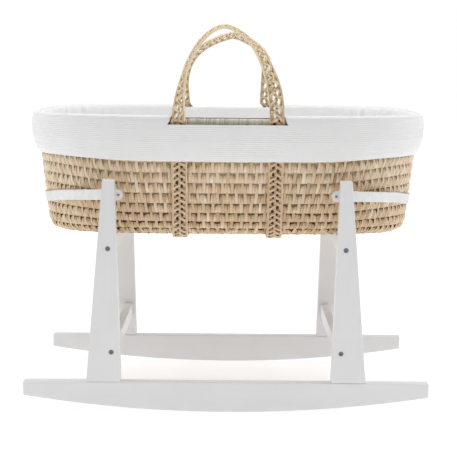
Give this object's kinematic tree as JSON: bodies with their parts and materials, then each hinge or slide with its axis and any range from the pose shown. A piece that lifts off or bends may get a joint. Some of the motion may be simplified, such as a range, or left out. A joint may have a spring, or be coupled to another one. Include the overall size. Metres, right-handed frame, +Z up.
{
  "type": "rocking moses basket stand",
  "caption": "White wooden rocking stand on curved runners, with a woven palm-leaf baby basket strapped between its legs, braided carry handles and a ribbed cloth liner.",
  "frame": {"origin": "on the floor, under the middle of the stand, where the rockers rest level", "axes": "+X along the rockers and the basket, +Y from the front rocker to the rear rocker, +Z up"},
  "size_m": [0.841, 0.4924, 0.7882],
  "materials": {
    "painted_wood": "white satin paint on solid wood",
    "bare_wood": "plain beech",
    "steel": "dull zinc plate",
    "webbing": "white flat webbing",
    "palm_leaf": "dry woven palm leaf",
    "liner_cloth": "white ribbed cotton knit",
    "mattress_cloth": "white soft cotton over light filling"
  },
  "bodies": {
    "stand": {"front_rocker": "painted_wood", "rear_rocker": "painted_wood", "front_left_leg": "painted_wood", "front_right_leg": "painted_wood", "rear_left_leg": "painted_wood", "rear_right_leg": "painted_wood", "left_upper_rail": "painted_wood", "right_upper_rail": "painted_wood", "left_lower_rail": "painted_wood", "right_lower_rail": "painted_wood", "rail_bolts": "steel", "barrel_nuts": "steel", "rail_dowels": "bare_wood", "leg_dowels": "bare_wood", "left_strap": "webbing", "right_strap": "webbing", "strap_screws": "steel", "strap_rivets": "steel"},
    "basket": {"basket_base": "palm_leaf", "basket_wall": "palm_leaf", "basket_rim": "palm_leaf", "left_carry_band": "palm_leaf", "right_carry_band": "palm_leaf", "liner_skirt": "liner_cloth", "liner_lining": "liner_cloth", "mattress": "mattress_cloth"},
    "front_handle": {"front_handle": "palm_leaf"},
    "rear_handle": {"rear_handle": "palm_leaf"}
  },
  "joints": [
    {"name": "basket_lift", "type": "slide", "parent": "stand", "child": "basket", "axis": [0, 0, 1], "range_m": [0, 0.2]},
    {"name": "front_handle_swing", "type": "hinge", "parent": "basket", "child": "front_handle", "pos_m": [0, -0.23913, 0.60729], "axis": [1, 0, 0], "range_deg": [-70, 105]},
    {"name": "rear_handle_swing", "type": "hinge", "parent": "basket", "child": "rear_handle", "pos_m": [0, 0.23913, 0.60729], "axis": [-1, 0, 0], "range_deg": [-70, 105]}
  ]
}
